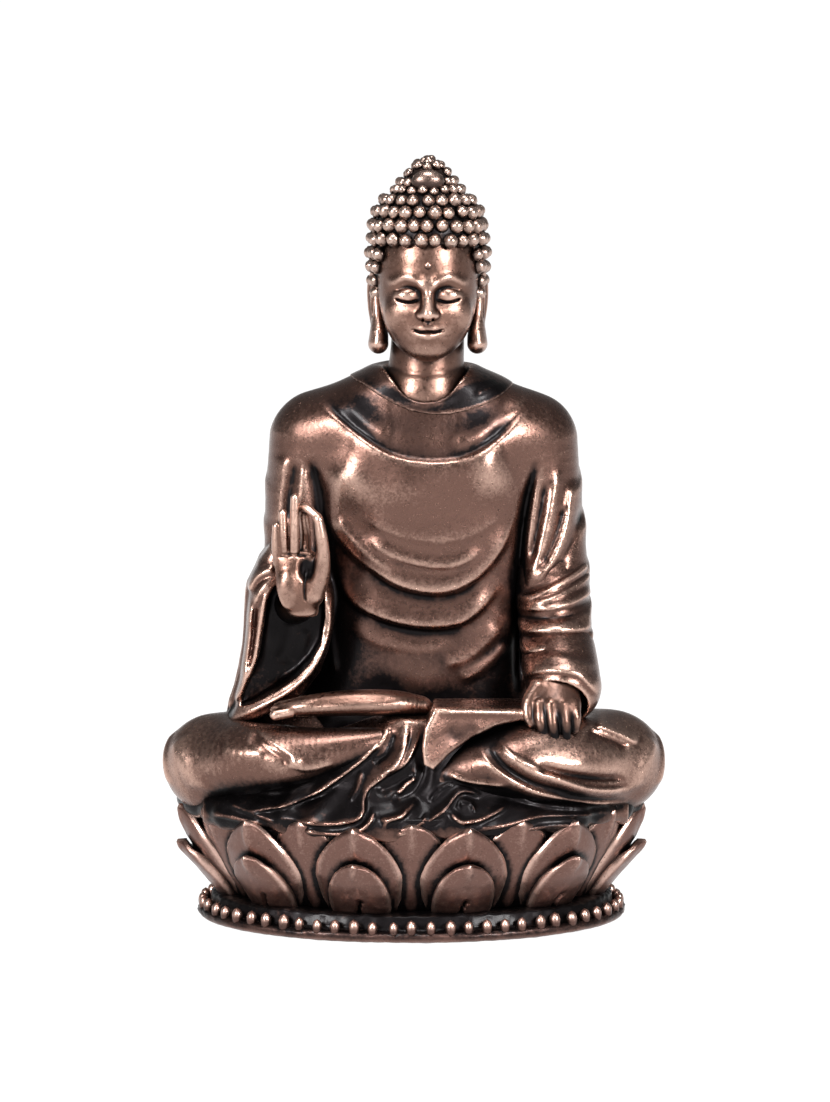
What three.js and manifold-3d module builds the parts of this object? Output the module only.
// A seated Buddha statue on a lotus seat, in cold-cast bronze. Millimetres, +Z up, +X to the figure's left, front at -Y.
// The origin is the middle of the underside. The figure sits in half lotus, its right hand raised and its left hand on the knee.
import * as THREE from "three";
import { mergeVertices } from "three/addons/utils/BufferGeometryUtils.js";
import Module from "manifold-3d";

const wasm = await Module();
wasm.setup();

// ---------- driving dimensions ----------

const gap = 0.3; // left between pieces that are bonded to each other

// Base: an oval foot with a row of pearls, and a drum that carries three layers of petals.
const footHalfWidth = 42.4;
const footHalfDepth = 28.6;
const footLip = 1.7; // height of the plain lip under the pearls
const footHeight = 5.2;
const pearlRadius = 1.25;
const pearlPitch = 3.75;
const pearlBandWidth = 2.2;
const feltThickness = 1.2;
const feltInset = 4; // from the foot's edge to the felt's edge
const feltStandOut = 0.2; // how far the felt stands below the foot
const drumHeight = 18.8;
const drumFlare = 6; // how far the drum's wall leans out from bottom to top
const drumInset = 6.2; // from the foot's edge in to the drum's bottom edge
const petalsAround = 11;
const petalHeight = 17.6;
const petalThickness = 1.5;
const smallPetalHeight = 11;
const smallPetalThickness = 1.5;
const backPetalHeight = 18.4;
const backPetalThickness = 1.1;
const petalFootClearance = 0.5; // between the petals' lower edge and the foot

// Seated figure, in the frame of the seat: z is 0 on top of the lotus.
const hemHalfWidth = 40.5;
const hemHalfDepth = 27.5;
const hemThickness = 3.4;
const kneeHalfSpan = 49.7; // half the width over both knees
const kneeForward = 6; // how far the knees sit in front of the middle
const kneeRadius = 8.7;
const shinForward = 20; // how far the shins cross in front of the middle
const shinRadius = 7;
const calfRadius = 5;
const footRadius = 3.6;
const shoulderHeight = 74;
const shoulderHalfWidth = 22; // to the middle of each upper arm
const chestHalfWidth = 23.5;
const chestHalfDepth = 15;
const waistHalfWidth = 19;
const waistHalfDepth = 13.5;
const hipHalfWidth = 26;
const hipHalfDepth = 17;
const spineX = 2.6; // the trunk stands a little to its own left of the knees' middle
const spineY = 7;
const armRadius = 8.2;
const elbowHeight = 37;
const sleeveHalfWidth = 9;
const sleeveHalfDepth = 9.4;
const wristRadius = 3.4;
const raisedHandForward = 14; // how far the raised hand stands in front of the middle
const raisedHandHeight = 41;
const collarRadius = 2.3;
const neckRadius = 7;
const neckHeight = 10;

// Head, in a frame of its own: z is 0 at the chin.
const headHeight = 28; // chin to crown under the hair
const headHalfWidth = 9.7;
const headHalfDepth = 10.8;
const hairThickness = 1.7;
const curlRadius = 1.45;
const curlPitch = 3.3;
const bunHalfWidth = 7.6;
const bunHeight = 8.9; // how far the bun stands above the hair
const earLength = 15.5;
const earWidth = 3;
const browBeadRadius = 0.55;

// Hands.
const palmWidth = 10;
const raisedHandLength = 22;
const restingHandLength = 16;
const fingerRadius = 1.35;

// ---------- what follows from them ----------

const seatHeight = footHeight + drumHeight;
const hipX = hipHalfWidth * 0.55;
const kneeX = kneeHalfSpan - kneeRadius;
const elbowX = shoulderHalfWidth + 3;
const chinHeight = shoulderHeight + 13.4;
const headX = spineX + 0.6;
const headY = spineY - 6;
const raisedHandX = spineX - shoulderHalfWidth - 2.1;
const legTop = 2 * kneeRadius;

const at = (x, y, z) => new THREE.Vector3(x, y, z);

const bronze = (name, colour, roughness) =>
  new THREE.MeshStandardMaterial({ name, color: colour, roughness, metalness: 0.9 });

const robeBronze = bronze("robe_bronze", 0x6f4a3a, 0.38);
const fleshBronze = bronze("flesh_bronze", 0x7d5443, 0.35);
const hairBronze = bronze("hair_bronze", 0x8a6250, 0.3);
const lotusBronze = bronze("lotus_bronze", 0x755141, 0.42);
const darkFelt = new THREE.MeshStandardMaterial({ name: "base_felt", color: 0x23201f, roughness: 0.95, metalness: 0 });

// ---------- solids ----------

function solidOf(geometry) {
  const bare = geometry.clone();
  bare.deleteAttribute("normal");
  bare.deleteAttribute("uv");
  const merged = mergeVertices(bare, 1e-4);
  return new wasm.Manifold(
    new wasm.Mesh({
      numProp: 3,
      vertProperties: merged.getAttribute("position").array,
      triVerts: new Uint32Array(merged.index.array),
    }),
  );
}

function geometryOf(solid) {
  const { vertProperties, triVerts } = solid.getMesh();
  return new THREE.BufferGeometry()
    .setAttribute("position", new THREE.BufferAttribute(vertProperties, 3))
    .setIndex(new THREE.BufferAttribute(triVerts, 1));
}

const moved = (solid, by) => solid.translate(by.x, by.y, by.z);
const joined = (...solids) => solids.reduce((whole, next) => whole.add(next));

// What is left of a solid beside its neighbours: the one largest body.
function cut(solid, ...cutters) {
  const bodies = cutters.reduce((left, cutter) => left.subtract(cutter), solid).decompose();
  return bodies.reduce((largest, body) => (body.volume() > largest.volume() ? body : largest));
}

function addPiece(group, name, solid, material) {
  const mesh = new THREE.Mesh(geometryOf(solid), material);
  mesh.name = name;
  group.add(mesh);
  return mesh;
}

// A closed skin over rings of equally many points, an even number. Each end is closed by strips from one side to the other.
function skin(rings) {
  const sides = rings[0].length;
  const faces = [];
  for (let side = 0; side < sides; side++) {
    const next = (side + 1) % sides;
    for (let ring = 0; ring + 1 < rings.length; ring++) {
      const low = ring * sides;
      const high = low + sides;
      faces.push(low + side, low + next, high + next, low + side, high + next, high + side);
    }
  }
  const top = (rings.length - 1) * sides;
  const corners = [0, 1, 2, 0, 2, 3];
  for (let side = 0; side + 1 < sides / 2; side++) {
    const strip = [side, side + 1, sides - 2 - side, sides - 1 - side];
    faces.push(...corners.map((corner) => top + strip[corner]));
    faces.push(...corners.toReversed().map((corner) => strip[corner]));
  }
  return new THREE.BufferGeometry().setFromPoints(rings.flat()).setIndex(faces);
}

// A value list read as a smooth curve, at share 0 to 1 of its length.
function smoothRow(rows, share) {
  const place = share * (rows.length - 1);
  const index = Math.min(Math.floor(place), rows.length - 2);
  const t = place - index;
  const value = (i, column) => {
    const end = Math.min(Math.max(i, 0), rows.length - 1);
    const inner = Math.min(Math.max(end, 1), rows.length - 2);
    return i === end ? rows[end][column] : 2 * rows[end][column] - rows[inner][column]; // runs on straight past an end
  };
  return rows[index].map((_, column) => {
    const [a, b, c, d] = [-1, 0, 1, 2].map((step) => value(index + step, column));
    return b + 0.5 * t * (c - a + t * (2 * a - 5 * b + 4 * c - d + t * (3 * (b - c) + d - a)));
  });
}

// A body of level oval slices. Each row is z, x, y, half width, half depth.
function stack(rows, { sides = 20, slices = 9, grow = 0 } = {}) {
  const rings = [];
  for (let slice = 0; slice <= slices; slice++) {
    const [z, x, y, width, depth] = smoothRow(rows, slice / slices);
    const lift = slice === 0 ? -grow : slice === slices ? grow : 0;
    const ring = [];
    for (let side = 0; side < sides; side++) {
      const angle = (side / sides) * 2 * Math.PI;
      ring.push(at(x + (width + grow) * Math.cos(angle), y + (depth + grow) * Math.sin(angle), z + lift));
    }
    rings.push(ring);
  }
  return solidOf(skin(rings));
}

// A round-ended limb along a smooth path. Each stop is a point and its radius; flat squeezes the radius across "up".
function limb(stops, { sides = 10, rings = 5, grow = 0, flat = 1, up = at(0, 0, 1) } = {}) {
  const path = new THREE.CatmullRomCurve3(stops.map(([point]) => point));
  const radii = stops.map(([, radius]) => [radius]);
  const section = (share, along, shrink) => {
    const tangent = path.getTangent(share);
    const side = tangent.clone().cross(up).normalize();
    const lift = tangent.clone().cross(side).normalize();
    const radius = smoothRow(radii, share)[0] + grow;
    const centre = path.getPoint(share).addScaledVector(tangent, along * radius);
    const ring = [];
    for (let k = 0; k < sides; k++) {
      const angle = (k / sides) * 2 * Math.PI;
      ring.push(
        centre
          .clone()
          .addScaledVector(side, Math.cos(angle) * radius * shrink)
          .addScaledVector(lift, Math.sin(angle) * radius * shrink * flat),
      );
    }
    return ring;
  };
  const domeShares = [0.9, 0.6].map((along) => [along, Math.sqrt(1 - along * along)]);
  const body = [];
  for (let ring = 0; ring <= rings; ring++) body.push(section(ring / rings, 0, 1));
  return solidOf(
    skin([
      ...domeShares.map(([along, shrink]) => section(0, -along, shrink)),
      ...body,
      ...domeShares.toReversed().map(([along, shrink]) => section(1, along, shrink)),
    ]),
  );
}

function ellipsoid(centre, halfWidth, halfDepth, halfHeight, { around = 20, up = 14, grow = 0 } = {}) {
  const ball = new THREE.SphereGeometry(1, around, up).rotateX(Math.PI / 2);
  ball.scale(halfWidth + grow, halfDepth + grow, halfHeight + grow);
  return solidOf(ball.translate(centre.x, centre.y, centre.z));
}

function block(low, high) {
  const size = high.clone().sub(low);
  const middle = low.clone().add(high).divideScalar(2);
  return solidOf(new THREE.BoxGeometry(size.x, size.y, size.z).translate(middle.x, middle.y, middle.z));
}

// An upright oval disc, or an oval ring where it has a hole.
function ovalPlate(halfWidth, halfDepth, low, high, { hole = 0, sides = 18 } = {}) {
  const outline = new THREE.Shape();
  outline.absellipse(0, 0, halfWidth, halfDepth, 0, 2 * Math.PI);
  if (hole) {
    const inside = new THREE.Path();
    inside.absellipse(0, 0, halfWidth - hole, halfDepth - hole, 0, 2 * Math.PI);
    outline.holes.push(inside);
  }
  const plate = new THREE.ExtrudeGeometry(outline, { depth: high - low, bevelEnabled: false, curveSegments: sides });
  return solidOf(plate.translate(0, 0, low));
}

// ---------- base ----------

const base = new THREE.Group();

const drumRows = [0, 0.5, 1].map((share) => {
  const flare = drumFlare * Math.sin((share * Math.PI) / 2) - drumInset;
  return [footHeight + drumHeight * share, 0, 0, footHalfWidth + flare, footHalfDepth + flare];
});

// The oval ring that runs round the drum at a height, standing a stated distance off its wall.
function aroundDrum(angle, height, offset) {
  const [, x, y, width, depth] = smoothRow(drumRows, (height - footHeight) / drumHeight);
  return at(x + (width + offset) * Math.sin(angle), y - (depth + offset) * Math.cos(angle), height);
}

// Angles that stand at even distances round an oval, the first at the front.
function evenAngles(halfWidth, halfDepth, count) {
  const steps = 720;
  const lengths = [0];
  for (let step = 1; step <= steps; step++) {
    const [a, b] = [step - 1, step].map((s) => (s / steps) * 2 * Math.PI);
    const run = Math.hypot(halfWidth * (Math.sin(b) - Math.sin(a)), halfDepth * (Math.cos(b) - Math.cos(a)));
    lengths.push(lengths.at(-1) + run);
  }
  const angleAt = (length) => {
    const step = lengths.findIndex((l) => l >= length - 1e-9);
    return (step / steps) * 2 * Math.PI;
  };
  return Array.from({ length: count }, (_, k) => angleAt((k / count) * lengths.at(-1)));
}

// One petal: a curved leaf that follows the drum, broad below and pointed above, thickest down its middle.
function petal(angle, { height, halfAngle, offset, thickness, lean = 0 }) {
  const across = 4;
  const up = 3;
  const low = footHeight + petalFootClearance;
  const point = (u, v, out) => {
    const width = halfAngle * (1 - v ** 2.4) * (0.86 + 0.4 * v);
    return aroundDrum(angle + u * width, low + height * v, offset + lean * v + out);
  };
  const rings = [];
  for (let row = 0; row <= up; row++) {
    const v = (row / up) * 0.985;
    const front = [];
    const back = [];
    for (let column = 0; column <= across; column++) {
      const u = (column / across) * 2 - 1;
      front.push(point(u, v, thickness * (1 - 0.35 * u * u)));
      back.unshift(point(u, v, 0));
    }
    rings.push([...front, ...back]);
  }
  return solidOf(skin(rings));
}

function addBase() {
  const recess = feltThickness - feltStandOut;
  const felt = [footHalfWidth - feltInset, footHalfDepth - feltInset];
  addPiece(base, "base_felt", ovalPlate(...felt, 0, feltThickness), darkFelt);

  const foot = joined(
    ovalPlate(footHalfWidth, footHalfDepth, feltStandOut, footLip),
    ovalPlate(footHalfWidth - pearlBandWidth - gap, footHalfDepth - pearlBandWidth - gap, footLip - 0.5, footHeight),
  );
  const feltPocket = ovalPlate(felt[0] + gap, felt[1] + gap, -1, feltStandOut + recess);
  addPiece(base, "foot", foot.subtract(feltPocket), lotusBronze);

  const band = ovalPlate(footHalfWidth - 0.5, footHalfDepth - 0.5, footLip, footHeight, {
    hole: pearlBandWidth - 0.5,
  });
  const pearlCount = Math.round((Math.PI * (footHalfWidth + footHalfDepth)) / pearlPitch);
  const pearls = evenAngles(footHalfWidth, footHalfDepth, pearlCount).map((angle) => {
    const centre = at(
      (footHalfWidth - 0.6) * Math.sin(angle),
      -(footHalfDepth - 0.6) * Math.cos(angle),
      footLip + pearlRadius + 0.4,
    );
    return solidOf(new THREE.OctahedronGeometry(pearlRadius, 0).translate(centre.x, centre.y, centre.z));
  });
  addPiece(base, "pearl_band", joined(band, ...pearls), lotusBronze);
  addPiece(base, "lotus_drum", stack(drumRows, { sides: 36, slices: 3 }), lotusBronze);

  const [, , , drumWidth, drumDepth] = smoothRow(drumRows, 0.5);
  const halfStep = Math.PI / petalsAround;
  const places = evenAngles(drumWidth, drumDepth, 2 * petalsAround);
  const backOffset = gap;
  const bigOffset = backOffset + backPetalThickness + gap;
  const smallOffset = bigOffset + petalThickness + gap;
  for (let k = 0; k < petalsAround; k++) {
    const label = String(k + 1).padStart(2, "0");
    const between = places[2 * k];
    const facing = places[2 * k + 1];
    const spread = (angle) => {
      const stretch = Math.hypot(drumWidth * Math.cos(angle), drumDepth * Math.sin(angle));
      const mean = (drumWidth + drumDepth) / 2;
      return (halfStep * mean) / stretch;
    };
    addPiece(
      base,
      `back_petal_${label}`,
      petal(between, {
        height: backPetalHeight - petalFootClearance,
        halfAngle: 0.72 * spread(between),
        offset: backOffset,
        thickness: backPetalThickness,
      }),
      lotusBronze,
    );
    addPiece(
      base,
      `big_petal_${label}`,
      petal(facing, {
        height: petalHeight,
        halfAngle: 0.96 * spread(facing),
        offset: bigOffset,
        thickness: petalThickness,
      }),
      lotusBronze,
    );
    addPiece(
      base,
      `small_petal_${label}`,
      petal(facing, {
        height: smallPetalHeight,
        halfAngle: 0.68 * spread(facing),
        offset: smallOffset,
        thickness: smallPetalThickness,
        lean: 1.6,
      }),
      lotusBronze,
    );
  }
}

// ---------- seated figure ----------

const figure = new THREE.Group();
figure.position.z = seatHeight;

const hem = (grow = 0) =>
  stack(
    [
      [0, 0, 0, hemHalfWidth, hemHalfDepth],
      [hemThickness * 0.5, 0, 0, hemHalfWidth + 0.8, hemHalfDepth + 0.8],
      [hemThickness, 0, 0, hemHalfWidth - 3, hemHalfDepth - 3],
    ],
    { sides: 28, slices: 3, grow },
  );

const trunk = (grow = 0) =>
  stack(
    [
      [hemThickness + gap, spineX - 1, spineY + 2, hipHalfWidth, hipHalfDepth],
      [shoulderHeight * 0.2, spineX - 0.5, spineY + 1, hipHalfWidth - 3, hipHalfDepth - 1],
      [shoulderHeight * 0.42, spineX, spineY, waistHalfWidth, waistHalfDepth],
      [shoulderHeight * 0.62, spineX, spineY, waistHalfWidth + 2, chestHalfDepth - 0.5],
      [shoulderHeight * 0.82, spineX, spineY, chestHalfWidth, chestHalfDepth],
      [shoulderHeight, spineX, spineY, chestHalfWidth + 0.5, chestHalfDepth - 2.5],
      [shoulderHeight + 6.5, spineX, spineY, chestHalfWidth - 6, neckRadius + 3.5],
      [shoulderHeight + 9, spineX, spineY - 0.5, neckRadius + 2.5, neckRadius + 1.5],
    ],
    { sides: 18, slices: 10, grow },
  );

const upperArm = (side, grow = 0) =>
  limb(
    [
      [at(spineX + side * (shoulderHalfWidth - 2), spineY, shoulderHeight - 3), armRadius - 0.4],
      [at(spineX + side * (shoulderHalfWidth + 1), spineY, (shoulderHeight + elbowHeight) / 2 + 4), armRadius - 0.2],
      [at(spineX + side * elbowX, spineY - 1, elbowHeight), armRadius],
    ],
    { up: at(0, 1, 0), grow },
  );

// The thigh runs out from the hip to the knee, and the shin comes back in front of the body.
const leg = (side, shinEnd, grow = 0) => {
  const knee = at(side * kneeX, -kneeForward, kneeRadius - 0.6);
  const shinKnee = knee.clone().add(at(-side * 1.5, -1.5, 0));
  const thigh = limb(
    [
      [at(side * hipX, spineY, kneeRadius + 3), kneeRadius],
      [at(side * (hipX + kneeX) * 0.5, spineY * 0.4 - kneeForward * 0.3, kneeRadius + 1.5), kneeRadius + 0.4],
      [knee, kneeRadius],
    ],
    { grow },
  );
  const shin = limb(
    [
      [shinKnee, kneeRadius - 0.3],
      [at(side * kneeX * 0.55, -shinForward * 0.85, kneeRadius + 0.3), shinRadius + 0.4],
      [shinEnd, shinRadius - 1],
    ],
    { grow },
  );
  return joined(thigh, shin);
};

const rightLeg = (grow = 0) => leg(-1, at(-4, -shinForward - 1, kneeRadius - 0.4), grow);
const leftLeg = (grow = 0) => leg(1, at(8, -shinForward + 1, kneeRadius - 1), grow);

// The left calf lies across the right one, with its foot turned up on the right thigh.
const leftCalf = (grow = 0) =>
  limb(
    [
      [at(kneeX * 0.62, -shinForward * 0.62, legTop * 0.87), calfRadius - 0.4],
      [at(kneeX * 0.29, -shinForward + 1, legTop * 0.95), calfRadius],
      [at(kneeX * 0.05, -shinForward - 1, legTop * 0.95), calfRadius - 0.4],
    ],
    { flat: 0.85, grow },
  );

const leftFoot = (grow = 0) =>
  limb(
    [
      [at(-kneeX * 0.07, -shinForward + 1, legTop * 1.02), footRadius],
      [at(-kneeX * 0.34, -shinForward + 2.5, legTop * 1.02), footRadius - 0.2],
      [at(-kneeX * 0.58, -shinForward + 3, legTop * 1.01), footRadius - 1.6],
    ],
    { flat: 0.8, grow },
  );

const lapCloth = () =>
  stack(
    [
      [hemThickness + gap, -3, -shinForward, 12, 7.5],
      [hemThickness + 5, -3, -shinForward, 10, 7.4],
      [hemThickness + 11, -2, -shinForward + 1, 8, 6],
    ],
    { sides: 12, slices: 3 },
  );

// The wide right sleeve hangs from the raised forearm down to the lap.
const hangingSleeve = (grow = 0) =>
  stack(
    [
      [legTop - 1, raisedHandX - 6, -1, sleeveHalfWidth + 0.5, sleeveHalfDepth - 0.4],
      [legTop + 8, raisedHandX - 4.5, -2, sleeveHalfWidth - 0.4, sleeveHalfDepth + 0.2],
      [legTop + 18, raisedHandX - 3.5, -4, sleeveHalfWidth - 0.8, sleeveHalfDepth + 0.2],
      [elbowHeight + 3, raisedHandX - 2.5, -5.5, sleeveHalfWidth - 2, sleeveHalfDepth - 1.2],
      [elbowHeight + 7, raisedHandX - 2, -6, wristRadius + 1.2, wristRadius + 2.6],
    ],
    { sides: 12, slices: 6, grow },
  );

const raisedForearm = (grow = 0) =>
  limb(
    [
      [at(raisedHandX - 2, -4, elbowHeight + 3), wristRadius + 0.8],
      [at(raisedHandX - 1, -10, elbowHeight + 4.5), wristRadius + 0.6],
      [at(raisedHandX, -raisedHandForward + 0.4, raisedHandHeight + 1), wristRadius],
    ],
    { grow, rings: 4 },
  );

const leftSleeve = (grow = 0) =>
  limb(
    [
      [at(spineX + elbowX + 2, spineY - 4, elbowHeight - 3), armRadius + 0.2],
      [at(spineX + elbowX + 2, spineY - 8, elbowHeight - 8), armRadius],
      [at(spineX + elbowX + 1.4, spineY - 12, elbowHeight - 12), armRadius - 0.4],
    ],
    { grow, up: at(0, 1, 1) },
  );

const leftCuff = (grow = 0) =>
  limb(
    [
      [at(spineX + elbowX + 1.2, spineY - 13, elbowHeight - 11.5), armRadius + 0.1],
      [at(spineX + elbowX + 1, spineY - 16, elbowHeight - 14.5), armRadius + 0.4],
    ],
    { grow, up: at(0, 1, 1), rings: 3 },
  );

// A hand: a palm with four fingers and a thumb, in a frame whose fingers point up and whose palm faces -Y.
// The side is 1 where the thumb is towards +X. Each finger's bend is how far its tip comes forward.
function hand(side, length, bends, spread = 0) {
  const palmLength = length * 0.52;
  const palm = limb(
    [
      [at(0, 0, palmLength * 0.2), palmWidth * 0.36],
      [at(0, 0, palmLength * 0.8), palmWidth * 0.44],
    ],
    { up: at(0, 1, 0), flat: 0.55, rings: 3 },
  );
  const fingerLengths = [0.4, 0.47, 0.45, 0.36].map((share) => share * length);
  const fingers = fingerLengths.map((fingerLength, k) => {
    const root = side * (0.36 - 0.24 * k) * palmWidth;
    const fan = spread * (1.5 - k) * side;
    return limb(
      [
        [at(root, 0, palmLength * 0.9), fingerRadius],
        [at(root + fan * 0.5, -bends[k] * 0.4, palmLength + fingerLength * 0.5), fingerRadius * 0.95],
        [at(root + fan, -bends[k], palmLength + fingerLength * (1 - bends[k] * 0.04)), fingerRadius * 0.8],
      ],
      { up: at(0, 1, 0), sides: 6, rings: 3 },
    );
  });
  const thumb = limb(
    [
      [at(side * palmWidth * 0.3, -0.6, palmLength * 0.35), fingerRadius * 1.3],
      [at(side * palmWidth * 0.5, -1.8, palmLength * 0.75), fingerRadius * 1.15],
      [at(side * palmWidth * 0.42, -2.6, palmLength * 1.15), fingerRadius * 0.85],
    ],
    { up: at(0, 1, 0), sides: 6, rings: 3 },
  );
  return joined(palm, ...fingers, thumb);
}

const collar = (grow = 0) => {
  const ring = [];
  for (let k = 0; k < 20; k++) {
    const angle = (k / 20) * 2 * Math.PI;
    const drop = 4.5 * (0.5 - 0.5 * Math.sin(angle)); // the collar hangs lower in front
    ring.push(at(1.62 * neckRadius * Math.cos(angle), 1.35 * neckRadius * Math.sin(angle), -drop));
  }
  const path = new THREE.CatmullRomCurve3(ring, true);
  const sides = 6;
  const steps = 20;
  const points = [];
  const faces = [];
  for (let step = 0; step < steps; step++) {
    const centre = path.getPoint(step / steps);
    const out = at(centre.x, centre.y, 0).normalize();
    for (let k = 0; k < sides; k++) {
      const angle = (k / sides) * 2 * Math.PI;
      const radius = collarRadius + grow;
      points.push(centre.clone().addScaledVector(out, radius * Math.cos(angle)).add(at(0, 0, radius * Math.sin(angle))));
      const [here, next] = [step, (step + 1) % steps].map((s) => s * sides);
      const turn = (k + 1) % sides;
      faces.push(here + k, next + k, next + turn, here + k, next + turn, here + turn);
    }
  }
  const roll = solidOf(new THREE.BufferGeometry().setFromPoints(points).setIndex(faces));
  return moved(roll, at(spineX, spineY - 1, shoulderHeight + 8));
};

const neck = (grow = 0) =>
  stack(
    [
      [shoulderHeight + 5, spineX, spineY - 1, neckRadius + 0.8, neckRadius + 0.6],
      [shoulderHeight + 9, headX - 0.3, spineY - 2, neckRadius - 0.2, neckRadius - 0.2],
      [shoulderHeight + 5 + neckHeight, headX, headY + 3, neckRadius - 0.4, neckRadius - 0.2],
    ],
    { sides: 12, slices: 3, grow },
  );

// ---------- head ----------

const head = new THREE.Group();
head.position.set(headX, headY, chinHeight);
figure.add(head);

const skull = (grow = 0) =>
  stack(
    [
      [0, 0, -headHalfDepth * 0.42, headHalfWidth * 0.3, headHalfDepth * 0.28],
      [headHeight * 0.1, 0, -headHalfDepth * 0.2, headHalfWidth * 0.66, headHalfDepth * 0.68],
      [headHeight * 0.28, 0, -headHalfDepth * 0.03, headHalfWidth * 0.9, headHalfDepth * 0.9],
      [headHeight * 0.5, 0, 0, headHalfWidth, headHalfDepth],
      [headHeight * 0.72, 0, 0.2, headHalfWidth * 0.98, headHalfDepth * 0.98],
      [headHeight * 0.9, 0, 0.4, headHalfWidth * 0.74, headHalfDepth * 0.76],
      [headHeight, 0, 0.5, headHalfWidth * 0.25, headHalfDepth * 0.28],
    ],
    { sides: 16, slices: 8, grow },
  );

const hairCentre = at(0, 0.8, headHeight * 0.62);
const hairHalf = [headHalfWidth + hairThickness, headHalfDepth + hairThickness, headHeight * 0.38 + hairThickness];
const hairlineHeight = headHeight * 0.76;

// Points spread over an oval dome in level rows, a pitch apart.
function domePoints(centre, half, pitch, keep) {
  const points = [];
  const rows = Math.round((Math.PI * 0.5 * (half[1] + half[2])) / pitch);
  for (let row = 0; row <= rows; row++) {
    const tilt = (row / rows) * Math.PI;
    const girth = Math.PI * (half[0] + half[1]) * Math.sin(tilt);
    const count = Math.max(1, Math.round(girth / pitch));
    for (let k = 0; k < count; k++) {
      const turn = ((k + 0.5 * (row % 2)) / count) * 2 * Math.PI;
      const point = at(
        centre.x + half[0] * Math.sin(tilt) * Math.sin(turn),
        centre.y - half[1] * Math.sin(tilt) * Math.cos(turn),
        centre.z + half[2] * Math.cos(tilt),
      );
      if (keep(point)) points.push(point);
    }
  }
  return points;
}

// A faceted stand-in for one curl. Its faces lie closer to the middle than its points, so it grows by more than they move.
const curl = (centre, grow = 0) =>
  solidOf(new THREE.OctahedronGeometry(curlRadius + grow * Math.sqrt(3), 0).translate(centre.x, centre.y, centre.z));

// The hair is a cap of snail-shell curls with its edge above the brow and down behind the ears.
function hairCap() {
  const shell = ellipsoid(hairCentre, ...hairHalf, { around: 12, up: 8 });
  const curls = domePoints(
    hairCentre,
    hairHalf,
    curlPitch,
    ({ y, z }) => z > headHeight * 0.24 && (y > -1 || z > hairlineHeight + 1),
  ).map((centre) => curl(centre));
  const face = block(
    at(-30, -30, -10),
    at(30, -headHalfDepth * 0.12, hairlineHeight),
  );
  const nape = block(at(-30, -30, -10), at(30, 30, headHeight * 0.2));
  return cut(joined(shell, ...curls), face, nape, skull(gap));
}

const bunCentre = at(0, 1, headHeight + hairThickness - 1.5);
const bunHalf = [bunHalfWidth, bunHalfWidth, bunHeight];

const bun = (grow = 0) => ellipsoid(bunCentre, ...bunHalf, { around: 10, up: 6, grow });

function curledBun(grow = 0) {
  const places = domePoints(bunCentre, bunHalf, curlPitch, ({ z }) => z > bunCentre.z - 1);
  return joined(bun(grow), ...places.map((centre) => curl(centre, grow)));
}

const bunJewel = (grow = 0) =>
  ellipsoid(
    at(0, bunCentre.y - bunHalfWidth * 0.78, bunCentre.z + bunHeight * 0.35),
    2.6,
    1.8,
    2.4,
    { around: 10, up: 6, grow },
  );

const ear = (side, grow = 0) =>
  limb(
    [
      [at(side * (headHalfWidth + 1), 1.2, earLength - 1), earWidth * 0.5],
      [at(side * (headHalfWidth + 1.3), 1.6, earLength * 0.7), earWidth * 0.62],
      [at(side * (headHalfWidth + 0.7), 0.8, earLength * 0.35), earWidth * 0.5],
      [at(side * (headHalfWidth - 0.1), 0, 1.6), earWidth * 0.66],
    ],
    { up: at(0, 1, 0), sides: 8, rings: 5, flat: 1.2, grow },
  );

function addHead() {
  const earCutters = [-1, 1].map((side) => ear(side, gap));
  const browBeadAt = at(0, -headHalfDepth * 0.97, headHeight * 0.66);
  const browBead = ellipsoid(browBeadAt, ...Array(3).fill(browBeadRadius), { around: 8, up: 6 });
  const neckCutter = moved(neck(gap), head.position.clone().negate());
  addPiece(head, "head", joined(cut(skull(), neckCutter, ...earCutters), browBead), fleshBronze);
  addPiece(head, "hair_cap", cut(hairCap(), curledBun(gap), neckCutter, ...earCutters), hairBronze);
  addPiece(head, "curled_bun", cut(curledBun(), skull(gap), bunJewel(gap)), hairBronze);
  addPiece(head, "bun_jewel", cut(bunJewel(), skull(gap)), hairBronze);
  addPiece(head, "right_ear", ear(-1), fleshBronze);
  addPiece(head, "left_ear", ear(1), fleshBronze);
}

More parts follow.
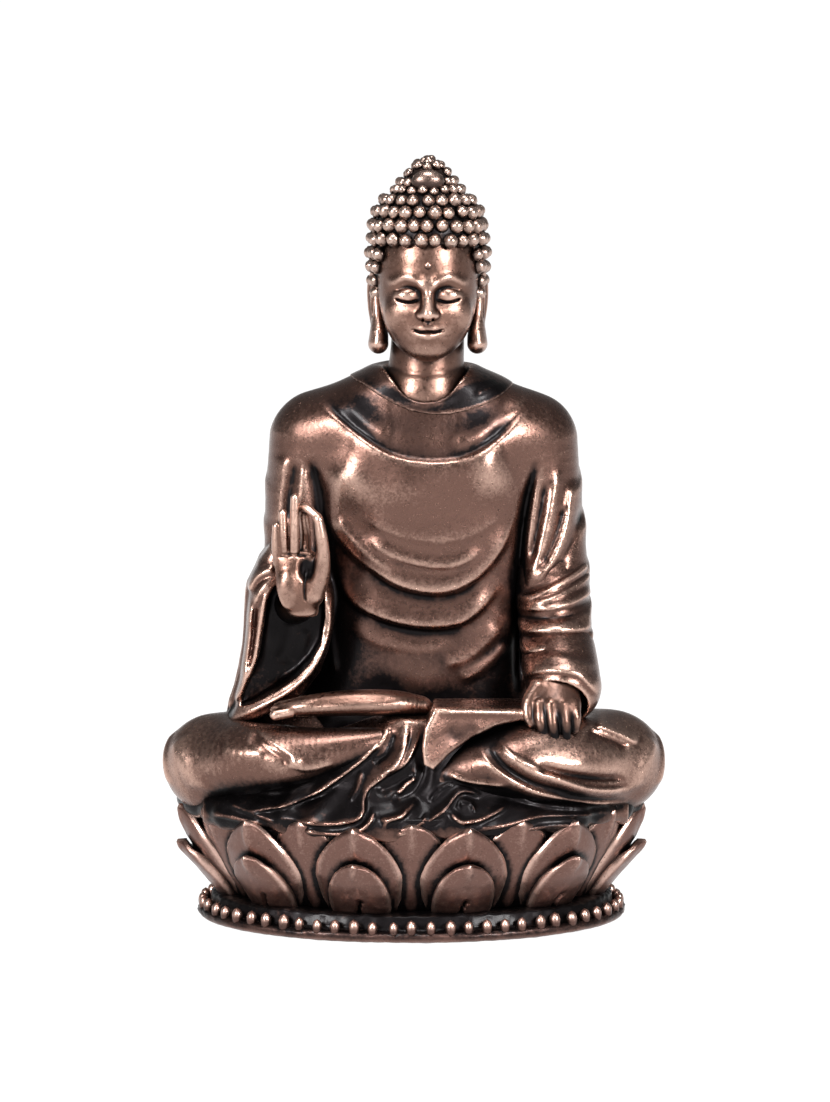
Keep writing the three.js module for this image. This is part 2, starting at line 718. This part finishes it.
function addFigure() {
  const seat = block(at(-80, -80, -40), at(80, 80, gap));
  addPiece(figure, "robe_hem", hem(), robeBronze);
  addPiece(figure, "robe_body", cut(trunk(), neck(gap), collar(gap)), robeBronze);
  addPiece(figure, "collar_fold", cut(collar(), neck(gap)), robeBronze);
  addPiece(figure, "neck", neck(), fleshBronze);

  addPiece(figure, "right_leg", cut(rightLeg(), seat, hem(gap), trunk(gap)), robeBronze);
  addPiece(figure, "left_leg", cut(leftLeg(), seat, hem(gap), trunk(gap), rightLeg(gap)), robeBronze);
  const legs = [rightLeg(gap), leftLeg(gap), trunk(gap)];
  addPiece(figure, "left_calf", cut(leftCalf(), ...legs), robeBronze);
  addPiece(figure, "left_foot", cut(leftFoot(), ...legs, leftCalf(gap)), fleshBronze);
  addPiece(figure, "lap_cloth", cut(lapCloth(), ...legs, leftCalf(gap), leftFoot(gap)), robeBronze);

  addPiece(figure, "right_upper_sleeve", cut(upperArm(-1), trunk(gap)), robeBronze);
  addPiece(figure, "left_upper_sleeve", cut(upperArm(1), trunk(gap)), robeBronze);
  const right = [trunk(gap), upperArm(-1, gap), rightLeg(gap), leftFoot(gap)];
  addPiece(figure, "right_sleeve", cut(hangingSleeve(), ...right, raisedForearm(gap)), robeBronze);
  addPiece(figure, "right_forearm", cut(raisedForearm(), trunk(gap), upperArm(-1, gap)), fleshBronze);
  const left = [trunk(gap), upperArm(1, gap), leftLeg(gap), leftCalf(gap)];
  addPiece(figure, "left_sleeve", cut(leftSleeve(), ...left), robeBronze);
  addPiece(figure, "left_cuff", cut(leftCuff(), ...left, leftSleeve(gap)), robeBronze);

  const raised = moved(
    hand(1, raisedHandLength, [3.4, 0.6, 0.2, 0.2], 0.4),
    at(raisedHandX, -raisedHandForward - 0.5, raisedHandHeight - 1.4),
  );
  addPiece(figure, "right_hand", cut(raised, raisedForearm(gap), trunk(gap)), fleshBronze);
  const resting = moved(
    hand(-1, restingHandLength, [1.2, 1.4, 1.4, 1.2], 0.3).rotate([148, 0, 0]),
    at(spineX + elbowX - 0.4, -spineY - 7.5, elbowHeight - 10),
  );
  addPiece(
    figure,
    "left_hand",
    cut(resting, leftLeg(gap), leftCuff(gap), leftSleeve(gap), leftCalf(gap)),
    fleshBronze,
  );
}

addBase();
addHead();
addFigure();

const statue = new THREE.Group();
statue.add(base, figure);

export default statue;
